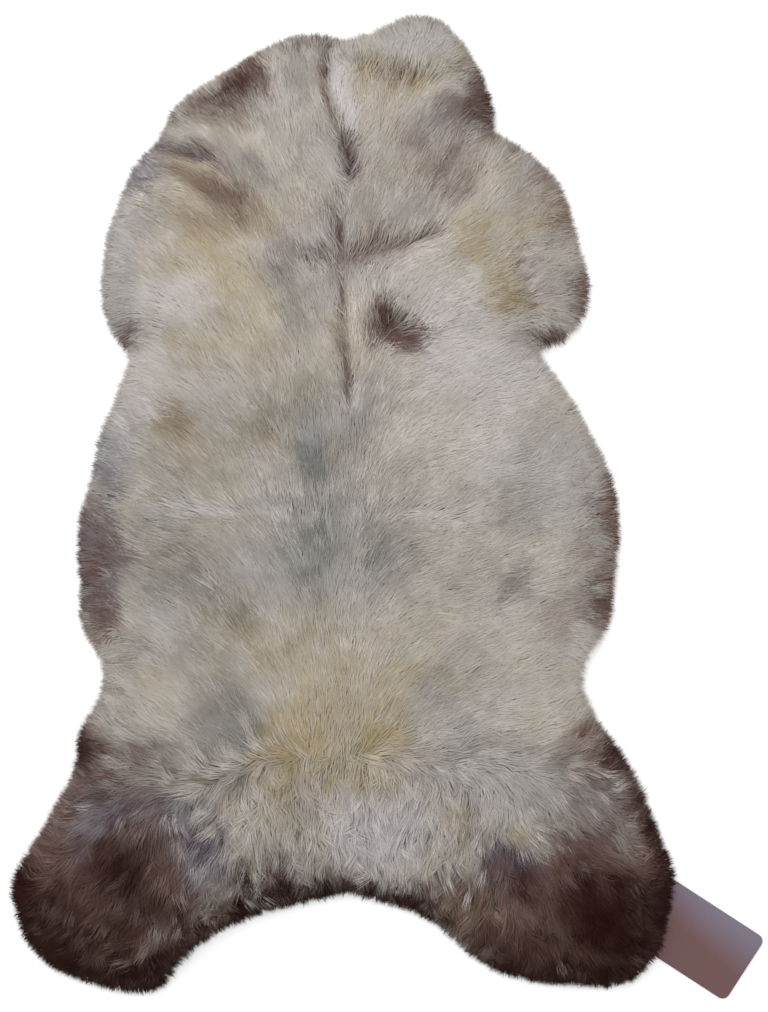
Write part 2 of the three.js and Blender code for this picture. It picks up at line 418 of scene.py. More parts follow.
# What the cloud is of, its place across and down the view, its half width and half length there,
# its lean in degrees, and how strong it is.
CLOUDS = [
    # the neck
    ("umber", 242, 80, 34, 18, 30, 1.0),
    ("umber", 214, 99, 28, 11, 14, 1.0),
    ("chocolate", 216, 97, 22, 7, 16, 0.35),
    ("umber", 256, 80, 16, 24, 0, 0.85),
    ("chocolate", 238, 84, 34, 14, 27, 0.45),
    ("ash", 226, 118, 70, 12, 2, 0.45),
    ("umber", 208, 117, 56, 12, 4, 0.35),
    ("straw", 212, 122, 44, 14, 0, 0.4),
    ("ash", 300, 46, 44, 13, 4, 0.6),
    ("umber", 300, 44, 34, 8, 0, 0.25),
    ("umber", 322, 42, 24, 6, 0, 0.6),
    ("ash", 300, 80, 26, 20, 0, 0.35),
    ("ash", 362, 48, 24, 14, 0, 0.35),
    ("lilac", 339, 80, 8, 22, -8, 0.95),
    ("lilac", 350, 116, 9, 24, 24, 0.95),
    ("umber", 326, 80, 4, 34, -2, 0.75),
    ("umber", 333, 122, 3, 20, 24, 0.6),
    ("umber", 349, 157, 10, 15, -8, 1.0),
    ("umber", 351, 175, 11, 13, 8, 0.9),
    ("chocolate", 350, 168, 8, 16, 0, 0.4),
    # the band under the right lobe: the wool's own straw, with umber along the crease as painted shadow
    ("straw", 390, 82, 42, 16, -12, 0.85),
    ("umber", 392, 78, 42, 9, -12, 0.6),
    ("straw", 375, 100, 26, 12, 0, 0.4),
    ("ash", 424, 36, 44, 28, 0, 0.5),
    ("lilac", 424, 46, 34, 20, 0, 0.5),
    ("umber", 484, 94, 15, 44, 17, 1.0),
    ("chocolate", 496, 98, 16, 40, 15, 0.5),
    ("umber", 466, 112, 26, 18, -10, 0.6),
    ("slate", 458, 112, 22, 13, 0, 0.4),
    ("umber", 430, 146, 36, 22, -25, 0.45),
    ("umber", 462, 165, 30, 36, 0, 0.2),
    ("lilac", 392, 158, 24, 12, 0, 0.3),
    ("umber", 462, 196, 14, 14, 0, 0.45),
    ("ash", 440, 180, 34, 26, 0, 0.15),
    ("umber", 400, 186, 46, 5, 0, 0.35),
    ("umber", 316, 186, 26, 5, 0, 0.35),
    ("ash", 345, 155, 70, 34, 0, 0.2),
    ("ash", 386, 212, 50, 18, 0, 0.35),
    ("ash", 170, 128, 36, 22, 30, 0.35),
    # the left shoulder: darker clouds round the lobe and its crease, partly wool colour, partly painted
    # shade
    ("umber", 196, 156, 36, 9, -14, 0.6),
    ("slate", 192, 156, 34, 8, -14, 0.7),
    ("slate", 146, 168, 14, 36, -32, 0.75),
    ("straw", 186, 178, 30, 13, -34, 1.0),
    ("umber", 184, 176, 26, 8, -32, 0.6),
    ("straw", 214, 206, 44, 34, -38, 0.75),
    ("umber", 217, 196, 26, 14, -40, 0.75),
    ("umber", 236, 204, 26, 18, -30, 0.5),
    ("umber", 208, 216, 42, 28, 0, 0.26),
    ("straw", 198, 188, 34, 20, -38, 0.8),
    ("straw", 244, 222, 36, 28, 0, 0.55),
    ("umber", 244, 218, 30, 24, 0, 0.16),
    ("ash", 250, 172, 40, 12, -38, 0.5),
    ("umber", 280, 252, 34, 46, 0, 0.16),
    ("slate", 279, 273, 3, 18, 24, 0.45),
    ("umber", 300, 285, 40, 30, 0, 0.08),
    ("straw", 212, 262, 42, 46, 0, 0.4),
    ("straw", 250, 320, 60, 50, 0, 0.25),
    ("lilac", 176, 300, 40, 20, 12, 0.6),
    ("ash", 150, 200, 22, 40, 0, 0.3),
    ("lilac", 122, 250, 22, 80, 4, 0.4),
    ("ash", 116, 255, 24, 90, 4, 0.8),
    ("umber", 128, 338, 12, 16, 30, 1.0),
    ("slate", 124, 330, 12, 14, 30, 0.4),
    ("lilac", 152, 322, 14, 26, 0, 0.4),
    ("straw", 224, 356, 56, 22, -8, 0.55),
    ("ash", 300, 290, 30, 46, 0, 0.38),
    ("straw", 288, 285, 30, 34, 0, 0.2),
    ("ash", 325, 225, 24, 30, 0, 0.4),
    # the spine and the crease across it
    ("umber", 339, 236, 4.5, 27, 0, 0.85),
    ("umber", 342, 300, 4, 46, 0, 0.5),
    ("umber", 346, 372, 6, 34, 0, 0.85),
    ("chocolate", 347, 392, 6, 12, 0, 0.5),
    # the crease across the back: umber along it, partly the roots' own colour and partly painted shade;
    # the broad last one is painted shade
    ("umber", 321, 259, 21, 6, 5, 1.0),
    ("umber", 366, 251, 32, 8, 4, 0.72),
    ("umber", 412, 242, 30, 7, 18, 0.72),
    ("umber", 362, 262, 40, 12, 6, 0.35),
    ("lilac", 394, 280, 34, 18, 0, 0.45),
    ("ash", 424, 206, 26, 16, 0, 0.15),
    ("umber", 386, 327, 23, 21, 0, 0.97),
    ("umber", 413, 339, 18, 18, 0, 0.95),
    ("chocolate", 384, 322, 12, 14, 0, 0.35),
    # the right shoulder
    ("umber", 528, 158, 50, 12, -32, 0.4),
    ("umber", 562, 210, 16, 52, 24, 0.45),
    ("umber", 545, 206, 32, 36, 0, 0.13),
    ("straw", 520, 205, 46, 40, 0, 0.15),
    ("straw", 470, 239, 17, 22, 0, 0.7),
    ("straw", 488, 262, 22, 13, -52, 0.5),
    ("straw", 507, 289, 30, 13, -57, 1.0),
    ("umber", 507, 291, 24, 9, -57, 0.3),
    ("umber", 522, 250, 13, 3, 16, 0.6),
    ("umber", 525, 268, 16, 3, -3, 0.7),
    ("umber", 531, 281, 15, 3, -7, 0.55),
    ("umber", 534, 295, 15, 3, -10, 0.55),
    ("umber", 531, 308, 13, 3, -14, 0.55),
    ("umber", 590, 298, 18, 36, -6, 0.95),
    ("umber", 556, 336, 26, 11, 4, 1.0),
    ("umber", 528, 334, 14, 6, 0, 0.5),
    ("chocolate", 552, 340, 24, 6, 4, 0.7),
    ("straw", 545, 240, 30, 40, 0, 0.2),
    ("ash", 548, 285, 24, 26, 0, 0.18),
    ("lilac", 448, 340, 50, 60, 0, 0.6),
    ("lilac", 508, 372, 36, 42, 0, 0.6),
    # the back
    ("lilac", 122, 440, 24, 60, 0, 0.35),
    ("ash", 118, 450, 24, 70, -6, 0.55),
    ("slate", 102, 462, 16, 40, -8, 0.45),
    ("lilac", 152, 376, 22, 40, -8, 0.5),
    ("straw", 182, 426, 24, 24, 0, 0.8),
    ("umber", 180, 424, 18, 16, 0, 0.25),
    ("straw", 212, 470, 40, 28, 0, 0.45),
    ("straw", 266, 434, 20, 18, 0, 0.6),
    ("umber", 266, 430, 16, 10, 0, 0.28),
    ("straw", 240, 400, 80, 50, 0, 0.2),
    ("ash", 225, 470, 110, 130, 0, 0.32),
    ("ash", 300, 400, 50, 40, 0, 0.2),
    ("ash", 362, 408, 40, 34, 0, 0.35),
    ("ash", 314, 450, 18, 36, 0, 0.88),
    ("straw", 176, 455, 60, 36, 0, 0.14),
    ("ash", 330, 450, 46, 60, 0, 0.35),
    ("ash", 400, 486, 30, 24, 0, 0.2),
    ("lilac", 205, 508, 46, 8, 5, 0.75),
    ("lilac", 282, 506, 42, 6, -2, 0.6),
    ("lilac", 432, 514, 52, 8, -2, 0.5),
    ("umber", 98, 542, 28, 40, 0, 0.6),
    ("umber", 91, 585, 21, 36, 0, 0.7),
    ("umber", 104, 622, 20, 24, 0, 0.6),
    ("slate", 94, 560, 32, 70, 0, 0.8),
    ("ash", 165, 560, 44, 56, 0, 0.45),
    ("straw", 175, 555, 36, 18, 10, 0.35),
    ("umber", 185, 548, 28, 10, 10, 0.2),
    ("ash", 312, 556, 28, 50, 0, 0.4),
    ("ash", 380, 552, 20, 48, 0, 0.3),
    ("ash", 345, 560, 84, 56, 0, 0.45),
    ("ash", 345, 505, 40, 30, 0, 0.15),
    ("straw", 240, 610, 50, 28, 0, 0.5),
    ("ash", 245, 582, 64, 38, 0, 0.32),
    ("ash", 215, 640, 90, 40, 0, 0.15),
    ("umber", 238, 612, 24, 10, 0, 0.15),
    ("straw", 270, 650, 80, 44, 0, 0.35),
    ("straw", 205, 545, 34, 22, 0, 0.3),
    ("straw", 436, 676, 36, 14, 0, 0.4),
    ("ash", 480, 512, 70, 34, 0, 0.25),
    ("ash", 452, 694, 50, 30, 0, 0.3),
    ("ash", 104, 690, 34, 44, 0, 0.36),
    ("ash", 515, 584, 22, 18, 0, 0.4),
    ("umber", 515, 582, 16, 13, 0, 0.3),
    ("umber", 620, 510, 16, 70, -3, 0.97),
    ("lilac", 490, 440, 40, 50, 0, 0.4),
    ("umber", 610, 598, 16, 48, 6, 0.9),
    ("umber", 590, 545, 18, 90, -2, 0.28),
    ("lilac", 565, 480, 30, 50, 0, 0.5),
    ("ash", 550, 480, 54, 60, 0, 0.35),
    ("ash", 480, 582, 40, 32, 0, 0.22),
    ("umber", 562, 615, 36, 24, 0, 0.25),
    # the loin and the rump
    ("ash", 228, 712, 46, 38, 0, 0.6),
    ("ash", 200, 640, 70, 50, 0, 0.25),
    ("straw", 316, 736, 62, 52, 0, 0.75),
    ("straw", 376, 742, 52, 48, 0, 0.5),
    ("straw", 290, 786, 44, 30, 0, 0.45),
    ("straw", 370, 690, 70, 34, 0, 0.35),
    ("umber", 122, 722, 28, 18, 0, 0.15),
    ("ash", 160, 760, 60, 36, 0, 0.35),
    ("umber", 145, 748, 20, 14, 0, 0.3),
    ("ash", 236, 776, 24, 16, 0, 0.3),
    ("umber", 128, 770, 50, 34, 0, 0.35),
    ("ash", 480, 760, 70, 40, 0, 0.36),
    ("lilac", 500, 775, 60, 30, 0, 0.35),
    ("straw", 464, 812, 26, 15, 0, 0.4),
    ("straw", 516, 830, 18, 9, 0, 0.4),
    ("lilac", 376, 828, 56, 36, 0, 0.95),
    ("ash", 300, 868, 70, 18, 0, 0.3),
    ("ash", 545, 788, 44, 32, 0, 0.5),
    ("lilac", 474, 800, 18, 12, 0, 0.35),
    ("umber", 345, 890, 110, 16, 0, 0.6),
    ("chocolate", 345, 898, 74, 24, 0, 1.0),
    ("chocolate", 262, 913, 50, 20, 16, 1.0),
    ("chocolate", 420, 913, 44, 16, -24, 1.0),
    ("umber", 447, 888, 26, 18, 0, 0.7),
    ("umber", 478, 888, 24, 14, 0, 0.4),
    ("slate", 446, 884, 24, 16, 0, 0.4),
    # the left hind leg
    ("slate", 110, 860, 90, 62, 20, 0.7),
    ("umber", 80, 940, 120, 74, 0, 0.95),
    ("umber", 26, 886, 40, 64, -10, 1.0),
    ("chocolate", 12, 896, 30, 66, 6, 1.0),
    ("chocolate", 52, 915, 26, 30, 0, 0.6),
    ("umber", 84, 748, 26, 28, -20, 1.0),
    ("chocolate", 78, 750, 20, 20, 0, 0.75),
    ("umber", 78, 785, 30, 28, -30, 0.7),
    ("slate", 98, 786, 30, 22, -30, 0.6),
    ("umber", 46, 822, 36, 36, -30, 0.85),
    ("slate", 84, 822, 30, 30, 0, 0.4),
    ("slate", 136, 806, 30, 22, 0, 0.55),
    ("umber", 134, 804, 28, 20, 0, 0.25),
    ("ash", 176, 802, 24, 16, 0, 0.4),
    ("ash", 205, 798, 24, 14, 0, 0.35),
    ("straw", 96, 800, 24, 12, 40, 0.35),
    ("lilac", 96, 812, 22, 12, 40, 0.35),
    ("umber", 146, 826, 26, 22, 0, 0.75),
    ("chocolate", 142, 836, 22, 14, 0, 0.25),
    ("umber", 126, 862, 44, 44, 0, 0.9),
    ("chocolate", 118, 862, 30, 36, -10, 0.72),
    ("chocolate", 146, 890, 22, 26, 0, 0.5),
    ("umber", 168, 862, 22, 34, 0, 0.65),
    ("slate", 160, 830, 14, 26, 0, 0.3),
    ("lilac", 172, 828, 18, 20, 0, 0.5),
    ("slate", 204, 836, 22, 16, 0, 0.9),
    ("umber", 204, 834, 20, 12, 0, 0.25),
    ("slate", 216, 876, 36, 24, 0, 0.5),
    ("umber", 214, 876, 34, 24, 0, 0.12),
    ("ash", 205, 860, 40, 34, 0, 0.4),
    ("lilac", 202, 864, 24, 24, 0, 0.55),
    ("umber", 204, 895, 30, 20, 0, 0.12),
    ("chocolate", 249, 880, 9, 30, 10, 0.75),
    ("umber", 281, 872, 14, 28, 10, 0.7),
    ("chocolate", 284, 878, 8, 16, 10, 0.35),
    ("umber", 172, 892, 28, 32, 0, 0.9),
    ("slate", 184, 872, 16, 30, 0, 0.4),
    ("chocolate", 174, 914, 24, 22, 0, 0.35),
    ("umber", 72, 876, 40, 34, 0, 0.75),
    ("chocolate", 72, 884, 30, 22, 0, 0.3),
    ("umber", 205, 932, 60, 20, 30, 1.0),
    ("umber", 112, 942, 40, 22, 0, 0.35),
    ("straw", 112, 944, 36, 18, 0, 0.3),
    ("chocolate", 210, 938, 60, 14, 32, 0.95),
    ("chocolate", 48, 966, 60, 36, -36, 1.0),
    ("chocolate", 102, 932, 48, 32, 0, 0.48),
    ("chocolate", 112, 986, 90, 28, -8, 1.0),
    ("chocolate", 158, 966, 22, 30, 0, 0.95),
    # the right hind leg
    ("umber", 560, 945, 130, 66, 0, 1.0),
    ("umber", 584, 746, 30, 30, 20, 0.5),
    ("slate", 580, 850, 44, 40, 0, 0.5),
    ("ash", 480, 832, 26, 16, 0, 0.4),
    ("umber", 658, 880, 24, 76, 0, 1.0),
    ("umber", 618, 752, 20, 36, 32, 1.0),
    ("chocolate", 624, 756, 14, 30, 32, 0.75),
    ("umber", 648, 812, 19, 54, 18, 1.0),
    ("chocolate", 656, 814, 16, 54, 18, 0.9),
    ("umber", 590, 842, 46, 38, 0, 0.6),
    ("umber", 590, 790, 34, 24, 0, 0.3),
    ("slate", 606, 806, 36, 34, 0, 0.3),
    ("umber", 592, 868, 60, 34, -8, 0.95),
    ("chocolate", 596, 884, 54, 26, 0, 0.6),
    ("umber", 512, 868, 38, 26, -8, 0.42),
    ("slate", 512, 866, 38, 26, -8, 0.92),
    ("umber", 540, 862, 20, 15, 0, 0.5),
    ("slate", 534, 866, 20, 18, 0, 0.7),
    ("chocolate", 522, 872, 10, 14, 0, 0.35),
    ("chocolate", 526, 884, 14, 14, 0, 0.55),
    ("umber", 560, 916, 98, 42, -8, 0.8),
    ("straw", 500, 908, 40, 20, -14, 0.5),
    ("straw", 470, 892, 40, 20, -14, 0.35),
    ("straw", 490, 914, 60, 24, -14, 0.75),
    ("chocolate", 602, 916, 46, 38, 0, 1.0),
    ("chocolate", 674, 890, 26, 60, 0, 1.0),
    ("chocolate", 496, 976, 90, 22, -14, 0.95),
    ("chocolate", 505, 945, 30, 16, -14, 0.4),
    ("chocolate", 590, 982, 90, 26, 0, 1.0),
    ("chocolate", 648, 958, 44, 44, 0, 0.9),
    ("chocolate", 548, 944, 40, 22, 0, 0.35),
]
# Faint clouds that lie all over, but less on the clear part at the right of the back: what they are
# of, their size in mm, their seed, and how strong they get.
FAINT = [
    ("straw", 60, 15, 0.25),
    ("ash", 48, 16, 0.2),
    ("lilac", 40, 17, 0.4),
    ("straw", 22, 18, 0.2),
    ("ash", 18, 19, 0.15),
]
CLEAR, CLEAR_SIZE = (465, 430), (110, 170)  # steps across and down the view, and mm


def turned(way, angle):
    """A way or a place turned about zero, anticlockwise as seen from above."""
    c, s = np.cos(angle), np.sin(angle)
    return np.stack([way[..., 0] * c - way[..., 1] * s, way[..., 0] * s + way[..., 1] * c], axis=-1)


def coat(place):
    """How strong each kind of coloured wool is at each place, in the order of KINDS."""
    wander = [lumps(place, 26, seed) + 0.6 * lumps(place, 10, seed + 1) for seed in (11, 13)]
    wander = np.stack(wander, axis=-1)
    share = np.zeros(place.shape[:-1] + (len(KINDS),))

    def lay(kind, amount):
        """Puts more of one kind with what is there."""
        k = KINDS.index(kind)
        share[..., k] = 1 - (1 - share[..., k]) * (1 - amount)

    for kind, *middle, half_width, half_length, lean, strength in CLOUDS:
        ragged = min(6, 0.45 * min(half_width, half_length))  # mm, about how far its edge wanders
        offset = turned(place + ragged * wander - at(*middle), -math.radians(lean))
        u, v = offset[..., 0] / (half_width * SCALE), offset[..., 1] / (half_length * SCALE)
        lay(kind, strength * (1 - fade(np.hypot(u, v), 0.5, 1.35)))
    clear = np.hypot(*np.moveaxis((place - at(*CLEAR)) / CLEAR_SIZE, -1, 0))
    faint = 0.15 + 0.85 * fade(clear, 0.4, 1.3)
    for kind, size, seed, most in FAINT:
        lay(kind, most * faint * np.clip(lumps(place, size, seed), 0, 1))
    return share


coats = [Field(amount) for amount in np.moveaxis(coat(spots), -1, 0)]


def coat_at(place):
    """What coat gives at each place, read from a grid of it."""
    return np.stack([field(place) for field in coats], axis=-1)


def painted(mesh, share, lie):
    """Keeps on a mesh's points their share of each kind of wool, and how they lie in their strand.

    lie holds how far along its strand a point is, the strand's own shade and its lock's.
    """
    for name, parts in (("pale_wool", share[..., :3]), ("dark_wool", share[..., 3:]), ("lie", lie)):
        store = mesh.attributes.new(name, "FLOAT_VECTOR", "POINT")
        store.data.foreach_set("vector", parts.astype(np.float32).ravel())


def wool_material(name, root):
    """Wool whose colours follow the coat. root is how light its roots are, from painted shade and their
    own colour.
    """
    made, tree, surface = material(name, 0.7)
    pale, dark, lie = (
        node_parts(tree, node(tree, "ShaderNodeAttribute", {"attribute_name": kept}, {}, "Vector"))
        for kept in ("pale_wool", "dark_wool", "lie")
    )
    share = dict(zip(KINDS, pale + dark))
    colour = CREAM
    for kind in KINDS:
        colour = mixed(tree, share[kind], colour, TINTS[kind])
    # each strand and each lock is a little lighter or darker than the next, more so in brown wool
    far, own, lock = lie
    shade = 1.0 + ((own - 0.5) * 0.36 + (lock - 0.5) * 0.28) * (1.0 + share["umber"] * 1.3)
    # darker toward each strand's root: painted shade deep in the pile, and the roots' own darker colour
    shade = shade * (root + (1.0 - root) * far)
    grey = node(tree, "ShaderNodeCombineColor", {}, {0: shade, 1: shade, 2: shade})
    tree.links.new(mixed(tree, 1.0, colour, grey, "MULTIPLY").socket, surface["Base Color"])
    surface["Specular IOR Level"].default_value = 0.03
    return made


fleece = wool_material("wool", 0.42)

# The undercoat
# The short dense wool next to the skin, seen only as the dark ground between the locks and under
# the rim. It stands for the body of the pile, and its colour is painted darker, as the shade deep in
# the pile.

UNDER_IN, BURIED = 12, 7.5  # mm, from the wool's tips in to its edge, and how deep it is in the pile


def under_low(place):
    """The undercoat's underside, just clear of the floor and the skin."""
    return np.maximum(below(place), hide_high(place)) + 0.6


def under_high(place):
    """Its upper side, which is at least 2 mm over the lower one."""
    return np.maximum(height(place) - BURIED, under_low(place) + 2.0)


undercoat = trimmed("undercoat", UNDER_IN, 6, under_low, under_high)
flat = np.array([v.co[:2] for v in undercoat.data.vertices]) * 1000
own = np.random.default_rng(3).uniform(0.3, 0.7, len(flat))
# its far is held at 0.3, so it takes the painted shade of the strands' roots
lie = np.stack([np.full(len(flat), 0.3), own, np.full(len(flat), 0.5)], axis=1)
painted(undercoat.data, coat_at(flat), lie)
undercoat.data.materials.append(fleece)
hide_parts("pelt")

# The wool's locks
# Wool fibres 50 to 60 mm long, of which the outer 40 mm show. They lean over in the way they grow:
# out and up from a whorl over the rump, and down from it over the tail and the hind legs. Low on the
# back they draw together in wavy pointed locks; higher up they lie in one soft nap.

SPINE = 345  # steps across the view
WHORL, SHAGGY = 755, 690  # steps down it, to the whorl and to where loose locks begin


def growth(place):
    """The way the wool leans at each place, as a vector of length 1."""
    x, y = np.moveaxis(place - at(SPINE, WHORL), -1, 0)
    y = y + 32 * fade(-x, 60, 190)  # the whorl lies lower at the left hip
    side = np.abs(x)
    up = 0.5 + 0.5 * np.tanh(y / 24)
    # how far the wool turns to the side for each mm that it runs up or down
    left = -0.42 * (side / 70) ** 1.5
    right = 2.7 * np.tanh(side / 91) ** 1.5 * (1 - 0.65 * fade(y, 525, 600))
    tail = np.sign(x) * fade(side, 105, 315)
    way = np.stack([up * np.where(x < 0, left, right) + (1 - up) * tail, 2 * up - 1], axis=-1)
    way /= np.hypot(way[..., 0], way[..., 1])[..., None] + 1e-6
    swirl = 0.16 + 0.25 * np.exp(-((y / 45) ** 2))
    way = turned(way, swirl * (lumps(place, 55, 21) + 0.5 * lumps(place, 24, 22)))
    way = way + 1.6 * np.stack([away_x(place), away_y(place)], axis=-1)
    edge = 0.9 * (1 - fade(depth(place), 8, 58))[..., None]
    way = way * (1 - edge) + edge * np.stack([outward_x(place), outward_y(place)], axis=-1)
    return way / (np.hypot(way[..., 0], way[..., 1])[..., None] + 1e-6)


def wildness(place):
    """How shaggy the wool is at each place: 0 for a soft nap, 1 for loose wavy locks over the tail."""
    low = at(SPINE, SHAGGY)[1] - place[:, 1]
    legs = fade(np.abs(place[:, 0] - at(SPINE, SHAGGY)[0]), 120, 220)
    return np.clip(fade(low, 0, 110) * (1 - 0.6 * legs) + 0.3 * (1 - fade(depth(place), 25, 90)), 0, 1)


def ribbons(name, points, normal, stations):
    """A mesh of ribbons from their points, which are two at each station and one at the tip."""
    count, per = points.shape[:2]
    faces, sizes = [], []
    for k in range(0, per - 3, 2):
        faces += [k, k + 1, k + 3, k + 2]
        sizes.append(4)
    faces += [per - 3, per - 2, per - 1]
    sizes.append(3)
    corners = (np.arange(count)[:, None] * per + faces).astype(np.int32)
    starts = np.arange(count)[:, None] * len(faces) + np.cumsum([0, *sizes[:-1]])
    mesh = bpy.data.meshes.new(name)
    mesh.vertices.add(count * per)
    mesh.vertices.foreach_set("co", (points / 1000).astype(np.float32).ravel())
    mesh.loops.add(corners.size)
    mesh.loops.foreach_set("vertex_index", corners.ravel())
    mesh.polygons.add(starts.size)
    mesh.polygons.foreach_set("loop_start", starts.astype(np.int32).ravel())
    mesh.polygons.foreach_set("use_smooth", np.ones(starts.size, bool))
    mesh.update(calc_edges=True)
    mesh.normals_split_custom_set_from_vertices(normal.reshape(-1, 3).astype(np.float32))
    # each ribbon has its own cell of the map, in rows of long narrow cells
    columns = math.ceil(math.sqrt(count * 4))
    rows = math.ceil(count / columns)
    cell = np.stack([np.arange(count) % columns / columns, np.arange(count) // columns / rows], axis=-1)
    local = [(u, k / (stations - 1)) for k in range(stations - 1) for u in (0.2, 0.8)] + [(0.5, 1.0)]
    local = (np.array(local) * (1, 0.8) + (0, 0.1)) / (columns, rows)
    spread = mesh.uv_layers.new(name="OFBake")
    uv = (cell[:, None] + local)[:, faces]
    spread.data.foreach_set("uv", uv.astype(np.float32).ravel())
    return mesh


def strands(name, line, width, roll, stray, shades, rooted, ribbon):
    """One piece of many strands, each a narrow ribbon that ends in a point.

    line holds each strand's places in mm from root to tip, width its widths there, and roll its turn
    about its own run. Its coat is that of a place stray away. shades holds its own shade, its lock's,
    and its leaning to one kind of wool or the other. rooted is how dark its root is painted, for the
    shade deep in the pile and the root's own darker colour, and ribbon how much its own face shapes its
    shading, against the pile's.
    """
    count, stations = line.shape[:2]
    run = np.gradient(line, axis=1)
    run /= np.linalg.norm(run, axis=-1, keepdims=True) + 1e-9
    side = np.cross(run, (0.0, 0.0, 1.0))
    side /= np.linalg.norm(side, axis=-1, keepdims=True) + 1e-9
    face = np.cross(side, run)
    c, s = np.cos(roll)[:, None, None], np.sin(roll)[:, None, None]
    side, face = side * c + face * s, face * c - side * s
    half = side * width[..., None] / 2

    def laid(left, right, end):
        """The values of a strand's points, in the order of its ribbon."""
        both = np.stack([left, right], axis=2)[:, :-1]
        return np.concatenate([both.reshape(count, -1, both.shape[-1]), end[:, -1:]], axis=1)

    points = laid(line - half, line + half, line)
    points[..., 2] = np.maximum(points[..., 2], 0.4)
    pile = np.stack([tilt_x(line[..., :2]), tilt_y(line[..., :2]), np.ones(line.shape[:2])], axis=-1)
    pile /= np.linalg.norm(pile, axis=-1, keepdims=True)
    normal = pile * (1 - ribbon)[:, None, None] + face * ribbon[:, None, None]
    normal /= np.linalg.norm(normal, axis=-1, keepdims=True)
    mesh = ribbons(name, points, laid(normal, normal, normal), stations)

    far = np.concatenate([np.repeat(np.linspace(0, 1, stations)[:-1], 2), [1.0]])
    far = 1 - (1 - far)[None, :, None] * rooted[:, None, None]
    lie = np.concatenate([far, np.broadcast_to(shades[:, None, :2], points.shape[:2] + (2,))], axis=-1)
    # where kinds of wool meet, each lock and strand has more of the one or of the other
    leaning = shades[:, 2]
    share = coat_at(line[..., :2] + stray[:, None])
    share += ((leaning + 0.4 * shades[:, 0]) * 0.7)[:, None, None] * share * (1.08 - share)
    # and each lock is a little warmer or cooler than the next
    share[..., KINDS.index("straw")] += 0.15 * np.clip(leaning, 0, 2)[:, None]
    share[..., KINDS.index("lilac")] += 0.20 * np.clip(-leaning, 0, 2)[:, None]
    painted(mesh, np.clip(laid(share, share, share), 0, 1), lie)
    mesh.materials.append(fleece)
    piece = placed(name, mesh)
    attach(piece, "root")
    return piece


# How wide a strand is at each of its stations, in mm, by how many it has.
TAPER = {3: [0.9, 1.0, 0.0], 4: [0.9, 1.0, 0.7, 0.0]}


def grown(middles, per_lock, stations, seed):
    """The strands of the locks at middles, as strands() takes them."""
    rng = np.random.default_rng(seed)
    count = len(middles)
    shaggy = wildness(middles)
    way = turned(growth(middles), rng.normal(0, 0.10 + 0.06 * shaggy, count))
    length = rng.normal(40, 3, count) + 2 * shaggy
    # a lock beside a parting is rooted in it
    aside = np.stack([away_x(middles), away_y(middles)], axis=-1)
    leaves = (way * aside).sum(-1) > 0.15 * np.hypot(aside[:, 0], aside[:, 1])
    back = 0.45 * length * np.where(leaves, np.clip(beside(middles) / 16, 0.05, 1), 1)
    # a lock that starts near the rim ends at the outline, give or take a few mm
    outward = np.stack([outward_x(middles), outward_y(middles)], axis=-1)
    along_out = np.clip((way * outward).sum(-1), 0.25, 1)
    reach_out = depth(middles) + back * along_out - rng.normal(1.2, 1.4, count)
    length = np.minimum(length, np.maximum(reach_out, 9) / along_out)
    bend = rng.normal(0, 0.10 + 0.18 * shaggy, count)
    wave = rng.normal(0, 0.3 + 1.0 * shaggy, count)
    lift = rng.normal(0.4 + 1.0 * shaggy, 0.3 + 1.2 * shaggy, count)
    draw = 0.10 + 0.5 * shaggy  # how far the strands come together at the lock's tip
    lock_shade = rng.uniform(0, 1, count)

    # each strand is rooted somewhere round its lock's middle
    which = np.repeat(np.arange(count), per_lock)
    total, wild = len(which), shaggy[which]
    turn, reach = rng.uniform(0, 2 * math.pi, total), np.sqrt(rng.uniform(0, 1, total))
    radius = 8.0 - 2.2 * wild
    spot = np.stack([np.cos(turn), np.sin(turn)], axis=-1) * (reach * radius)[:, None]
    forward = way[which]
    sideways = np.stack([forward[:, 1], -forward[:, 0]], axis=-1)
    off = (spot * sideways).sum(-1) / radius
    own = rng.normal(0, 0.11 - 0.02 * wild, total)
    size = length[which] * rng.uniform(0.8, 1.08, total)
    line = np.zeros((total, stations, 3))
    for k, t in enumerate(np.linspace(0, 1, stations)):
        heading = turned(forward, own + bend[which] * t)
        flat = middles[which] + spot * (1 - draw[which] * t**1.3)[:, None] + heading * (size * t)[:, None]
        flat = flat - forward * back[which][:, None]
        flat += sideways * (wave[which] * math.sin(2 * math.pi * t))[:, None]
        ground = height(flat)
        dome = (0.3 + 2.2 * wild) * (1 - reach**2) * (0.3 + 0.7 * t)
        rise = -(5 + 6 * wild) * (1 - t) ** 1.6 + lift[which] * t + dome + rng.normal(0, 0.4, total)
        rise = rise * np.clip(ground / 22, 0.18, 1)
        line[:, k, :2], line[:, k, 2] = flat, np.maximum(ground + rise, 0.5)
    width = rng.uniform(0.8, 1.25, total)[:, None] * np.array(TAPER[stations])
    roll = -(0.15 + 0.6 * wild) * off + rng.normal(0, 0.2, total)

    # the place whose coat it has lies off mostly along its run, by its lock's part and its own
    stray = (way * rng.normal(0, 6, (count, 1)) + rng.normal(0, 1.5, (count, 2)))[which]
    stray += forward * rng.normal(0, 4, (total, 1)) + rng.normal(0, 0.8, (total, 2))
    shades = np.stack([rng.uniform(0, 1, total), lock_shade[which]], axis=-1)
    shades = 0.5 + (shades - 0.5) * (0.32 + 0.68 * wild)[:, None]
    leaning = rng.normal(0, 1, count)[which] * (0.6 + 0.4 * wild)
    shades = np.concatenate([shades, leaning[:, None]], axis=-1)
    dark = coat_at(middles)[which, KINDS.index("umber") :].max(-1)
    # how dark the roots are painted: more in shaggy wool, for the shade in its deeper gaps, and in dark
    # wool, whose roots are darker
    rooted = 0.4 + 0.6 * np.maximum(wild, 0.9 * dark)
    return line, width, roll, stray, shades, rooted, 0.2 + 0.45 * wild


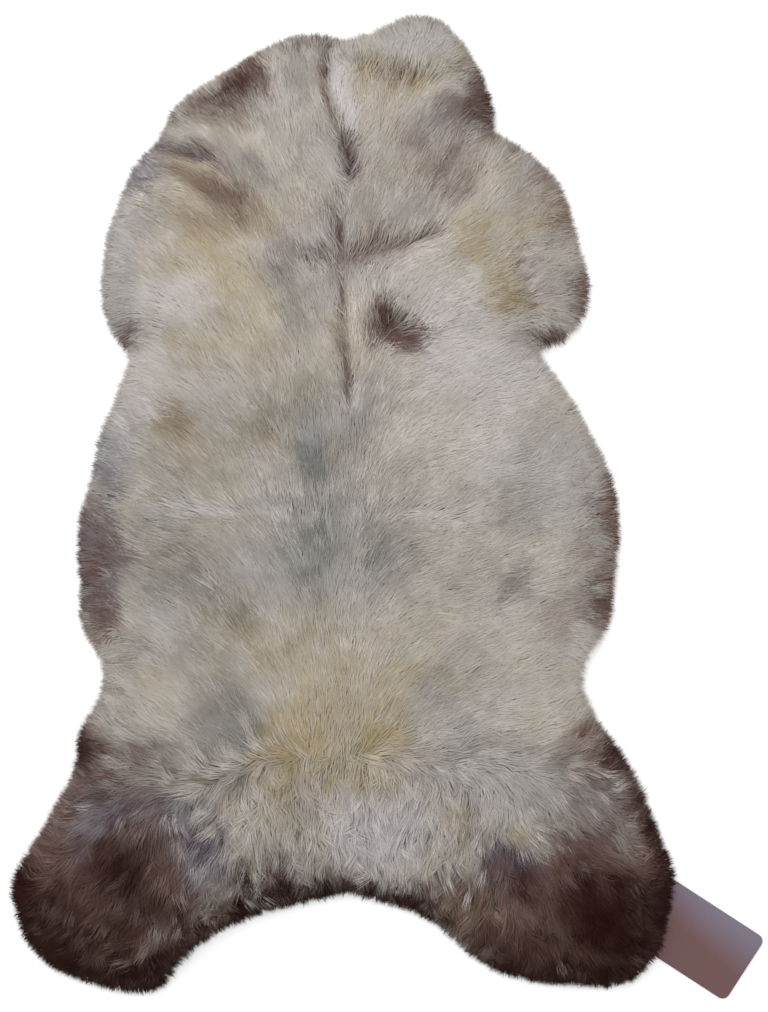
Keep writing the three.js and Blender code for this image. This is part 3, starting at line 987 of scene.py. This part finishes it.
def packed(spacing, seed):
    """Places about spacing mm apart over the whole of the rug's box."""
    rng = np.random.default_rng(seed)
    xs, ys = np.arange(LEFT, -LEFT, spacing), np.arange(NEAR, -NEAR, spacing * 0.866)
    places = np.stack(np.meshgrid(xs, ys), axis=-1)
    places[1::2, :, 0] += spacing / 2
    return places.reshape(-1, 2) + rng.uniform(-0.38, 0.38, (places.size // 2, 2)) * spacing


# Where each field of wool ends, in steps down the view. The haunches lie below them, to either side
# of the spine.
NECK, SHOULDERS, BACK, LOIN = 190, 370, 545, 720
middles = packed(8.7, 31)
middles = middles[depth(middles) > 11]
down = (ON_FLOOR[1] - middles[:, 1]) / SCALE + IN_VIEW[1]
left = (middles[:, 0] - ON_FLOOR[0]) / SCALE + IN_VIEW[0] < SPINE
BANDS = [
    ("wool_neck", down < NECK),
    ("wool_shoulders", (down >= NECK) & (down < SHOULDERS)),
    ("wool_back", (down >= SHOULDERS) & (down < BACK)),
    ("wool_loin", (down >= BACK) & (down < LOIN)),
    ("wool_left_haunch", (down >= LOIN) & left),
    ("wool_right_haunch", (down >= LOIN) & ~left),
]
for k, (name, where) in enumerate(BANDS):
    per_lock, stations = (24, 4) if name.endswith("haunch") else (22, 3)
    strands(name, *grown(middles[where], per_lock, stations, 40 + k))

# The fringe
# The wool that grows at the hide's edge. It hangs out past the edge and down to the floor, and ends
# in a fine soft fringe.

places = packed(4.6, 61)
places = places[(depth(places) > 9) & (depth(places) < 24)]
rng = np.random.default_rng(62)
short = rng.normal(0.8, 1.3, len(places))  # mm that a tuft ends inside the outline
outward = np.stack([outward_x(places), outward_y(places)], axis=-1)
outward = turned(outward, rng.normal(0, 0.2, len(places)))
which = np.repeat(np.arange(len(places)), 12)
count = len(which)
spot = places[which] + rng.normal(0, 2.2, (count, 2))
size = np.clip(depth(places) - short, 6, 40)[which] * rng.uniform(0.85, 1.15, count)
bend = rng.normal(0, 0.2, len(places))[which]
low = rng.uniform(0.15, 0.95, count)
own = rng.normal(0, 0.14, count)
line = np.zeros((count, 3, 3))
for k, t in enumerate((0, 0.5, 1)):
    heading = turned(outward[which], own + bend * t)
    flat = spot + (places[which] - spot) * 0.3 * t + heading * (size * (1.15 * t - 0.15))[:, None]
    line[:, k, :2] = flat
    line[:, k, 2] = np.maximum(height(flat) * low * (1 - 0.3 * t), 0.6)
width = rng.uniform(0.7, 1.1, count)[:, None] * np.array(TAPER[3])
stray = outward[which] * rng.normal(-4, 3, (count, 1))
own_shade, tuft_shade = rng.uniform(0.2, 0.8, count), rng.uniform(0.2, 0.8, len(places))[which]
shades = np.stack([own_shade, tuft_shade, rng.normal(0, 0.7, count)], axis=-1)
roll, even = rng.normal(0, 0.4, count), np.ones(count)
fringe = strands("wool_fringe", line, width, roll, stray, shades, 0.7 * even, 0.4 * even)

# The label
# A tab of mauve brown leather with rounded corners, sewn on under the hide's edge at the right hind
# leg. It is flat and plain, with a soft grain and worn edges, and a painted highlight toward its
# upper edge.

LENGTH, WIDTH, THICK = 0.150, 0.080, 0.0025  # m
CORNER, ROUNDED = 0.008, 0.0007  # m, the rounding of its corners and of its edges
LEAN = math.radians(-33)  # its long way falls to the lower right

label_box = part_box("label")
middle = Vector(((label_box[0][0] + label_box[1][0]) / 2, (label_box[0][1] + label_box[1][1]) / 2, 0))
made = bmesh.new()
bmesh.ops.create_grid(made, x_segments=1, y_segments=1, size=0.5)
bmesh.ops.scale(made, vec=(LENGTH, WIDTH, 1), verts=made.verts)
bmesh.ops.bevel(
    made, geom=made.verts, offset=CORNER, segments=6, profile=0.5, affect="VERTICES", material=-1
)
grown_on = bmesh.ops.extrude_face_region(made, geom=list(made.faces))["geom"]
cover = [part for part in grown_on if isinstance(part, bmesh.types.BMVert)]
bmesh.ops.translate(made, vec=(0, 0, THICK), verts=cover)
bmesh.ops.recalc_face_normals(made, faces=made.faces)
rims = [e for e in made.edges if e.calc_face_angle(0) > 1.0]
bmesh.ops.bevel(made, geom=rims, offset=ROUNDED, segments=3, profile=0.5, affect="EDGES", material=-1)
lying = Matrix.Translation(middle) @ Matrix.Rotation(LEAN, 4, "Z")
bmesh.ops.transform(made, matrix=lying, verts=made.verts)
for face in made.faces:
    face.smooth = face.normal.z < 0.99
label = finished("leather_label", made)
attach(label, "root")

BROWN, LIT, MAUVE = (0.132, 0.054, 0.054), (0.178, 0.158, 0.222), (0.108, 0.056, 0.056)
leather, tree, surface = material("label leather", 0.48)
place = node(tree, "ShaderNodeTexCoord", {}, {}, "Object")
x, y, _ = node_parts(tree, place)


def from_middle(angle):
    """How far a place is from the label's middle, in m, along its long way turned by an angle."""
    c, s = math.cos(LEAN + angle), math.sin(LEAN + angle)
    return x * c + y * s - (middle.x * c + middle.y * s)


# a painted highlight, paler toward its upper edge, where the light grazes the leather: by how much for
# each m of the way there, and how far that way leans to the label's long way
PALING, ASLANT = 26.0, 0.15
lit = (from_middle(math.pi / 2) + from_middle(0) * ASLANT) * PALING
lit = node(tree, "ShaderNodeClamp", {}, {0: lit})
cloud = node(tree, "ShaderNodeTexNoise", {}, {"Vector": place, "Scale": 26.0, "Detail": 3.0})
tone = mixed(tree, cloud * 0.5, mixed(tree, lit, BROWN, LIT), MAUVE)
tree.links.new(tone.socket, surface["Base Color"])
cells = {"feature": "DISTANCE_TO_EDGE"}
pores = node(tree, "ShaderNodeTexVoronoi", cells, {"Vector": place, "Scale": 900.0})
rough = {"Vector": place, "Scale": 38.0, "Detail": 5.0, "Distortion": 1.2}
relief = pores + node(tree, "ShaderNodeTexNoise", {}, rough) * 5.0
raised = node(tree, "ShaderNodeBump", {}, {"Strength": 0.35, "Distance": 0.0004, "Height": relief})
tree.links.new(raised.socket, surface["Normal"])
label.data.materials.append(leather)
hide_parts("label")

# The floor and the light
# A plain white floor under soft light from all round, a little stronger from the upper left. The
# floor gives a little light of its own, so that it stays pale close to the wool.

made = bmesh.new()
bmesh.ops.create_grid(made, x_segments=1, y_segments=1, size=6)
floor = finished("floor", made)
white, _, surface = material("floor", 0.9)
surface["Base Color"].default_value = (0.92, 0.92, 0.92, 1)
surface["Specular IOR Level"].default_value = 0.0
surface["Emission Color"].default_value = (1.0, 1.0, 1.0, 1)
surface["Emission Strength"].default_value = 0.16
floor.data.materials.append(white)
floor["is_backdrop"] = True

world = bpy.data.worlds.new("room")
world.use_nodes = True
sky = world.node_tree.nodes["Background"].inputs
sky["Color"].default_value = (1.0, 1.0, 1.0, 1)
sky["Strength"].default_value = 0.78
bpy.context.scene.world = world


def lamp(name, place, size, power):
    """A square lamp of size m at a place, which shines on the rug's middle."""
    light = bpy.data.lights.new(name, "AREA")
    light.shape, light.size, light.energy = "SQUARE", size, power
    holder = placed(name, light)
    holder.location = place
    holder.rotation_euler = (-Vector(place)).to_track_quat("-Z", "Y").to_euler()


lamp("soft box", (-1.3, 1.5, 2.2), 1.6, 42)
lamp("fill", (1.6, -0.4, 2.4), 2.0, 12)

# The camera
# It looks straight down from 2.4 m over the rug's middle, through a long lens, so that the rug fills
# the view.

camera = bpy.data.cameras.new("camera")
camera.lens, camera.sensor_width = 80, 36
holder = placed("camera", camera)
holder.location = (-0.0042, 0.00025, 2.4135)
bpy.context.scene.camera = holder
bpy.context.scene.view_settings.view_transform = "Standard"

size = {
    "cad": [list(map(float, corner)) for corner in cad_bounds],
    "model": [list(map(float, corner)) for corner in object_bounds()],
}
